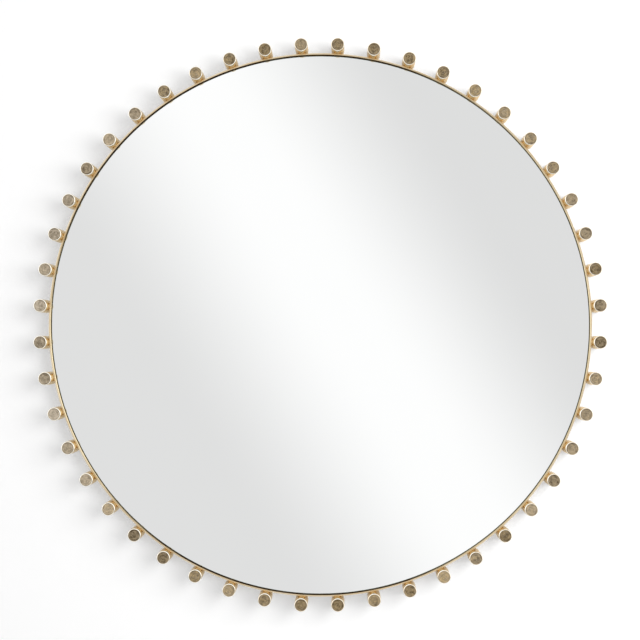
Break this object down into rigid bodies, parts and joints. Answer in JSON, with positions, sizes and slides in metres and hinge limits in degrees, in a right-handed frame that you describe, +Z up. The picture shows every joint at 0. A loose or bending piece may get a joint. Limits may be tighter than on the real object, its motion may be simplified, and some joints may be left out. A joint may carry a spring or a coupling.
{
  "type": "round mirror",
  "caption": "Round wall mirror: a flat pane in a narrow metal ring, with a border of short round pegs standing out all round it and D-ring hangers on its back.",
  "frame": {"origin": "centre of the mirror on the wall plane, which the back edge of the ring and the pegs stand against", "axes": "+Z up as it hangs, +Y into the wall, so the glass faces -Y, and +X to the right of a person looking into the glass"},
  "size_m": [0.8624, 0.051, 0.8624],
  "materials": {
    "peg_metal": "antique gold plating: polished sides and edges, matt brown turned front faces",
    "ring_metal": "antique gold plating, satin",
    "tab_steel": "plated with the ring, dull",
    "mirror": "silvered float glass with a ground edge",
    "foam_tape": "double-sided foam tape",
    "board": "wood-fibre board, matt black paint",
    "zinc": "bright zinc plating"
  },
  "bodies": {
    "mirror": {"peg_01": "peg_metal", "peg_02": "peg_metal", "peg_03": "peg_metal", "peg_04": "peg_metal", "peg_05": "peg_metal", "peg_06": "peg_metal", "peg_07": "peg_metal", "peg_08": "peg_metal", "peg_09": "peg_metal", "peg_10": "peg_metal", "peg_11": "peg_metal", "peg_12": "peg_metal", "peg_13": "peg_metal", "peg_14": "peg_metal", "peg_15": "peg_metal", "peg_16": "peg_metal", "peg_17": "peg_metal", "peg_18": "peg_metal", "peg_19": "peg_metal", "peg_20": "peg_metal", "peg_21": "peg_metal", "peg_22": "peg_metal", "peg_23": "peg_metal", "peg_24": "peg_metal", "peg_25": "peg_metal", "peg_26": "peg_metal", "peg_27": "peg_metal", "peg_28": "peg_metal", "peg_29": "peg_metal", "peg_30": "peg_metal", "peg_31": "peg_metal", "peg_32": "peg_metal", "peg_33": "peg_metal", "peg_34": "peg_metal", "peg_35": "peg_metal", "peg_36": "peg_metal", "peg_37": "peg_metal", "peg_38": "peg_metal", "peg_39": "peg_metal", "peg_40": "peg_metal", "peg_41": "peg_metal", "peg_42": "peg_metal", "peg_43": "peg_metal", "peg_44": "peg_metal", "peg_45": "peg_metal", "peg_46": "peg_metal", "peg_47": "peg_metal", "peg_48": "peg_metal", "frame_ring": "ring_metal", "frame_tabs": "tab_steel", "mirror_glass": "mirror", "glass_tape": "foam_tape", "backing_board": "board", "tab_screws": "zinc", "hanger_screws": "zinc", "hanger_strap_left": "zinc", "hanger_strap_right": "zinc"},
    "left_d_ring": {"hanger_ring_left": "zinc"},
    "right_d_ring": {"hanger_ring_right": "zinc"}
  },
  "joints": [
    {"name": "left_d_ring_swing", "type": "hinge", "parent": "mirror", "child": "left_d_ring", "pos_m": [-0.24054, -0.0071, 0.20183], "axis": [1, 0, 0], "range_deg": [0, 178]},
    {"name": "right_d_ring_swing", "type": "hinge", "parent": "mirror", "child": "right_d_ring", "pos_m": [0.24054, -0.0071, 0.20183], "axis": [1, 0, 0], "range_deg": [0, 178]}
  ]
}
